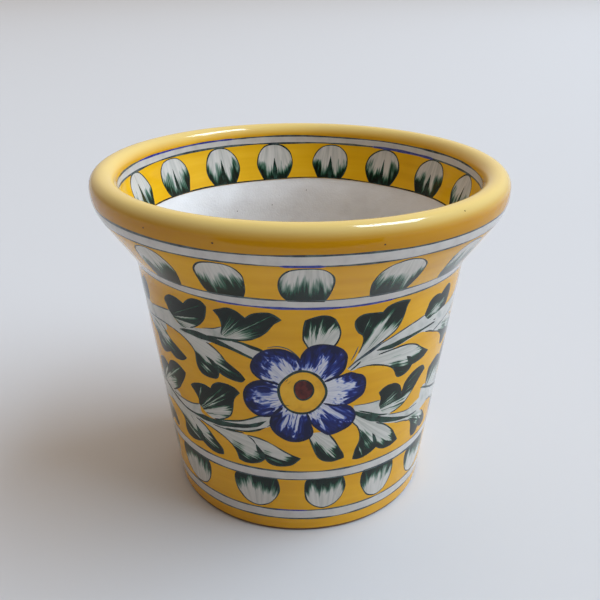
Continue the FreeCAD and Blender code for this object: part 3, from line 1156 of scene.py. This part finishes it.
def yellowGround(deep, middle, light):
    def colourNodes(tree, place):
        drawn = stretched(tree, place, ground["strokeSize"])
        strokes = noiseAt(tree, drawn, Detail=3.0, Roughness=0.6)
        patches = noiseAt(tree, place, ground["patchSize"])
        share = maths(tree, "MULTIPLY", maths(tree, "ADD", strokes, patches), 0.5)
        colour = add(tree, "ValToRGB", {"Fac": share}, [(0.3, deep), (0.5, middle), (0.7, light)])
        apart = add(tree, "SeparateXYZ", {0: place})
        level = add(tree, "CombineXYZ", {0: apart.outputs["X"], 1: apart.outputs["Y"]})
        radius = add(tree, "VectorMath", {0: level}, operation="LENGTH").outputs["Value"]
        height = apart.outputs["Z"]
        # the lip's face gets painted shade, the crest painted sheen
        for reach, (start, end, tint) in ((radius, ground["face"]), (height, ground["crestSheen"])):
            share = slope(tree, reach, start * mm, end * mm, high=ground["mostTint"],
                          interpolation_type="SMOOTHSTEP")
            colour = mix(tree, share, colour, tint)
        return colour
    return colourNodes


washSize = 3.846  # patches of a thin wash
loadSize = 2.381  # stretches of a pen-like line between a full and a spent brush
# a thin wash that dulls the brushed paints in stretches along the strokes
thinWash = {
    "width": 1.1,  # millimetres
    "waves": 0.22,
    "shift": (7, 0, 0),  # away from the streaks' own noise
    "shows": (0.42, 0.75),  # it starts and is full at these values of the noise
    "most": 0.55,
}


def washedWhite(light, wash, deep):
    def colourNodes(tree, place):
        # tin white with a thin grey-green wash that gathers in places
        cloud = noiseAt(tree, place, washSize, Detail=3.0, Roughness=0.6)
        stops = [(0.25, deep), (0.5, wash), (0.75, light)]
        return add(tree, "ValToRGB", {"Fac": cloud}, stops).outputs[0]
    return colourNodes


def brushed(stops, strokes, wash, swirl=0.0):
    # strokes are (width in millimetres, waves along the stroke, strength)
    def colourNodes(tree, place):
        # pigment pulled from the tip inwards: the brush's hairs leave streaks of several widths
        spot = add(tree, "UVMap", uv_map="strokes")
        depth = add(tree, "SeparateXYZ", {0: spot}).outputs["Y"]
        value = maths(tree, "MULTIPLY", depth, 0.5)
        for size, along, strength in strokes:
            drawn = add(tree, "Mapping", {"Vector": spot, "Scale": (1 / size, along, 1)})
            hairs = noiseAt(tree, drawn, Detail=1.0, Distortion=swirl)
            lift = maths(tree, "SUBTRACT", hairs, 0.5)
            value = maths(tree, "MULTIPLY_ADD", lift, strength, value)
        colour = add(tree, "ValToRGB", {"Fac": value}, stops)
        size = (1 / thinWash["width"], thinWash["waves"], 1)
        apart = add(tree, "Mapping", {"Vector": spot, "Location": thinWash["shift"], "Scale": size})
        thin = noiseAt(tree, apart, Detail=3.0, Roughness=0.6)
        share = slope(tree, thin, *thinWash["shows"], high=thinWash["most"])
        return mix(tree, share, colour, wash, blend_type="MULTIPLY")
    return colourNodes


def penned(dark, light):
    def colourNodes(tree, place):
        # a loaded brush line, a little thinner in places
        load = noiseAt(tree, place, loadSize)
        return add(tree, "ValToRGB", {"Fac": load}, [(0.38, dark), (0.66, light)]).outputs[0]
    return colourNodes


# every paint on the coat, the yellow ground first
coatPaints = {
    # the yellow ground in two copies: outside deeper and more orange, painted shade of the front,
    # and inside the band lighter, painted light of the lit inside
    "yellow": yellowGround("#dc9d10", "#e5a814", "#edb220"),
    "innerYellowPaintedLight": yellowGround("#e4a814", "#efb61a", "#f5bf28"),
    "bandWhite": washedWhite("#d6d2cc", "#cfcbc6", "#c2beba"),
    "white": washedWhite("#d4d1ca", "#c9c8c1", "#a9aea6"),
    "leaf": brushed(
        [(0, "#0b140e"), (0.32, "#0f261c"), (0.42, "#26573f"), (0.5, "#86a08c"), (0.59, "#d2d0c8")],
        [(1.9, 0.5, 1.0), (0.6, 0.55, 0.85), (0.28, 0.8, 0.45)], "#a7b1aa"),
    "greenStroke": penned("#14241c", "#2a4c40"),
    "thinLine": penned("#2c3a44", "#5c6a6a"),
    "darkLine": penned("#16211f", "#2f4742"),
    "petal": brushed(
        [(0, "#0b1140"), (0.32, "#152470"), (0.42, "#3b54a8"), (0.5, "#98a5d0"), (0.6, "#d6d6dc")],
        [(3.4, 1.3, 1.3), (1.3, 1.9, 0.8), (0.5, 1.6, 0.35)], "#9aa8d4", swirl=1.2),
    "navyLine": penned("#0a0e2a", "#161d4a"),
    "disc": washedWhite("#efba30", "#e8ae28", "#d49a22"),
    "dot": penned("#3c1414", "#70281e"),
    "bandPetal": brushed(
        [(0, "#0d1710"), (0.28, "#112e21"), (0.42, "#3d6652"), (0.56, "#8f9f92"),
         (0.72, "#d4d0c8")],
        [(2.4, 0.5, 1.25), (0.7, 0.8, 0.55), (0.3, 1.2, 0.4)], "#aab3ad"),
    "ringLine": penned("#344046", "#5c6a68"),
    "blueStroke": penned("#23308c", "#4a5aa6"),
    "speck": penned("#2a1c12", "#46301c"),
}

# surfaces without glaze, with the sizes of their patterns in millimetres
bareLooks = {
    # white slip left unglazed inside: chalky, faintly speckled, with the drag of the sponge
    "bare_white_slip": {
        "roughness": 0.75,
        "colours": ("#d9d5d1", "#e3e0dc", "#e9e7e4"),
        "spread": 0.25,
        "cloudSize": (11.11, 11.11, 7.143),
        "grainSize": 0.625,
        "grainDepth": 0.12,
        "speckColour": "#7c7468",
        "speckSize": 2.6,
        "speckShare": 0.12,
        "speckEdge": (0.05, 0.11),
    },
    # fired earthenware wiped clean of glaze where the pot stands: dull brown with sandy grain
    "bare_fired_clay": {
        "roughness": 0.85,
        "colours": ("#5e4128", "#79563a", "#8f6c4c"),
        "spread": 0.2,
        "cloudSize": (6.25, 6.25, 6.25),
        "grainSize": 0.4545,
        "grainDepth": 0.15,
    },
}


def bareMaterial(name):
    look = bareLooks[name]
    material, tree, shader = newMaterial(name, look["roughness"])
    place = add(tree, "TexCoord").outputs["Object"]
    cloud = noiseAt(tree, stretched(tree, place, look["cloudSize"]), Detail=4.0, Roughness=0.6)
    stops = list(zip((0.5 - look["spread"], 0.5, 0.5 + look["spread"]), look["colours"]))
    colour = add(tree, "ValToRGB", {"Fac": cloud}, stops).outputs[0]
    if "speckShare" in look:  # a dark speck at the centre of some cells
        cells = add(tree, "TexVoronoi", {"Vector": place, "Scale": 1 / (look["speckSize"] * mm)})
        close = slope(tree, cells.outputs["Distance"], *look["speckEdge"], 1.0, 0.0)
        chance = add(tree, "SeparateColor", {0: cells.outputs["Color"]})
        chosen = maths(tree, "GREATER_THAN", chance, 1 - look["speckShare"])
        colour = mix(tree, maths(tree, "MULTIPLY", close, chosen), colour, look["speckColour"])
    grain = noiseAt(tree, place, look["grainSize"], Detail=3.0)
    dress(tree, shader, colour, grain, look["grainDepth"])
    return material


# Floor, light and camera

studio = {
    "floor": {"size": (14, 14), "place": (0, 0, 0), "tilt": 0, "colour": "#d4d4d4",
              "specular": 0.2},
    # a dark card in front, below the lens, seen by reflections only: it deepens the lip's face
    "card": {"size": (0.3, 0.06), "place": (0, -0.2, 0.06), "tilt": 90, "colour": "#694a2c",
             "specular": 0.5},
    "paperRoughness": 0.9,
    "roomDim": "#4c3f30",  # the warm room behind the camera
    "roomBright": "#f0e2d6",  # the pale wall ahead and the ceiling
    "roomWay": (0.25, 0.5, 0.53),  # the room brightens this way
    "roomShare": 0.25,  # how bright it is across that way
    "backdrop": "#d3d7dc",
    "daylight": "#d2e8ff",
    "lampDistance": 6.0,
    # each lamp: degrees round to the right from behind the camera, and up, its size and its watts
    "window": {"from": (91, 44), "size": (6.2, 6.2), "power": 495},  # soft, never reflected
    "glint": {"from": (108, 64), "size": (1.9, 2.1), "power": 300},  # its reflection in the glaze
}
camera = {
    "lens": 44.18,
    "place": (0.1, -224.0, 162.7),
    "pitch": 65.53,
    "roll": 0.129,
    "nearest": 0.01,
    "farthest": 50,
}


def stageSheet(name, look):
    # a flat sheet of matt paper
    bpy.ops.object.select_all(action="DESELECT")
    tilt = math.radians(look["tilt"])
    bpy.ops.mesh.primitive_plane_add(size=1, location=look["place"], rotation=(tilt, 0, 0))
    sheet = bpy.context.object
    sheet.name = name
    sheet.scale = look["size"] + (1,)
    bpy.ops.object.transform_apply()
    material, _, shader = newMaterial("matt_paper_" + name, studio["paperRoughness"])
    shader.inputs["Base Color"].default_value = linear(look["colour"])
    shader.inputs["Specular IOR Level"].default_value = look["specular"]
    sheet.data.materials.append(material)
    return sheet


def makeRoom():
    # dim and warm behind the camera, brighter ahead and above
    world = bpy.data.worlds.new("soft_room")
    world.use_nodes = True
    tree = world.node_tree
    way = add(tree, "TexCoord").outputs["Generated"]
    lift = add(tree, "VectorMath", {0: way, 1: studio["roomWay"]}, operation="DOT_PRODUCT")
    share = maths(tree, "ADD", lift.outputs["Value"], studio["roomShare"], use_clamp=True)
    wall = mix(tree, share, studio["roomDim"], studio["roomBright"])
    room = add(tree, "Background", {"Color": wall})
    shown = add(tree, "Background", {"Color": studio["backdrop"]})
    path = add(tree, "LightPath")
    choice = add(tree, "MixShader", {0: path.outputs["Is Camera Ray"], 1: room, 2: shown})
    tree.links.new(choice.outputs[0], tree.nodes["World Output"].inputs["Surface"])
    bpy.context.scene.world = world


def makeLight(name, look):
    turn, rise = (math.radians(a) for a in look["from"])
    level = math.cos(rise)
    way = Vector((math.sin(turn) * level, -math.cos(turn) * level, math.sin(rise)))
    lamp = bpy.data.lights.new(name, "AREA")
    lamp.shape = "RECTANGLE"
    lamp.size, lamp.size_y = look["size"]
    lamp.energy = look["power"]
    lamp.color = linear(studio["daylight"])[:3]
    light = bpy.data.objects.new(name, lamp)
    light.location = way * studio["lampDistance"]
    light.rotation_euler = (-way).to_track_quat("-Z", "Y").to_euler()
    light.visible_camera = False
    bpy.context.collection.objects.link(light)
    return light


def makeCamera():
    seen = bpy.data.cameras.new("camera")
    seen.lens = camera["lens"]
    seen.clip_start = camera["nearest"]
    seen.clip_end = camera["farthest"]
    eye = bpy.data.objects.new("camera", seen)
    eye.location = Vector(camera["place"]) * mm
    pitch = Matrix.Rotation(math.radians(camera["pitch"]), 3, "X")
    roll = Matrix.Rotation(math.radians(camera["roll"]), 3, "Z")
    eye.rotation_euler = (pitch @ roll).to_euler()
    bpy.context.collection.objects.link(eye)
    bpy.context.scene.camera = eye


slip = bareMaterial("bare_white_slip")
bare = bareMaterial("bare_fired_clay")
paints = [glazed("painted_glaze_" + name, colourNodes) for name, colourNodes in coatPaints.items()]
clayParts = makeClay(slip, bare)
for node, part in clayParts.items():
    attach(part, "root")
    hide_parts(node)
print("clay:", len(clayParts), "parts")

coat = makeCoat(paints)
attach(coat, "root")

stageSheet("floor", studio["floor"])
card = stageSheet("dark_card", studio["card"])
card.visible_camera = False
card.visible_shadow = False
card.visible_diffuse = False
makeRoom()
window = makeLight("window_light", studio["window"])
window.visible_glossy = False
glint = makeLight("window_glint", studio["glint"])
glint.visible_diffuse = False
print("studio: floor, card, room and two lamps")
makeCamera()
bpy.context.scene.view_settings.view_transform = "Standard"

print("done")
